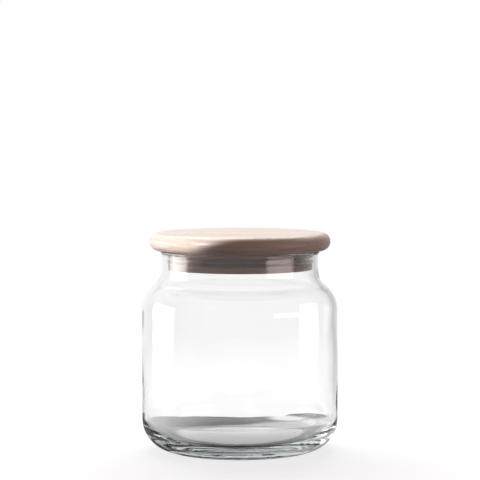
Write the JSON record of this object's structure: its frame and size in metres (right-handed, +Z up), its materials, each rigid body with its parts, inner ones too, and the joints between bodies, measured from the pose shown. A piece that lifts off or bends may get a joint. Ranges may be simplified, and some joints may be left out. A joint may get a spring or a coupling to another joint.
{
  "type": "sourdough starter jar",
  "caption": "Squat clear glass jar with rounded shoulders and a wide neck, closed by a round-edged wooden lid whose plug carries a soft seal ring.",
  "frame": {"origin": "on the jar's axis, at the height of the foot ring's flat underside", "axes": "+Z up along the jar's axis of turning, from the foot to the lid; X and Y are level and any direction about Z is alike"},
  "size_m": [0.112, 0.112, 0.1245],
  "materials": {
    "glass": "clear polished soda-lime glass, faintly green at the thick base",
    "wood": "turned pale hardwood with a fine straight grain, sanded and lightly oiled",
    "silicone": "clear, faintly smoky silicone, satin"
  },
  "bodies": {
    "jar": {"glass_jar": "glass"},
    "seal": {"seal_ring": "silicone"},
    "lid": {"wooden_lid": "wood"}
  },
  "joints": [
    {"name": "lid_lift", "type": "slide", "parent": "jar", "child": "seal", "axis": [0, 0, 1], "range_m": [0, 0.06]},
    {"name": "lid_turn", "type": "hinge", "parent": "seal", "child": "lid", "pos_m": [0, 0, 0.11], "axis": [0, 0, 1], "continuous": true}
  ]
}
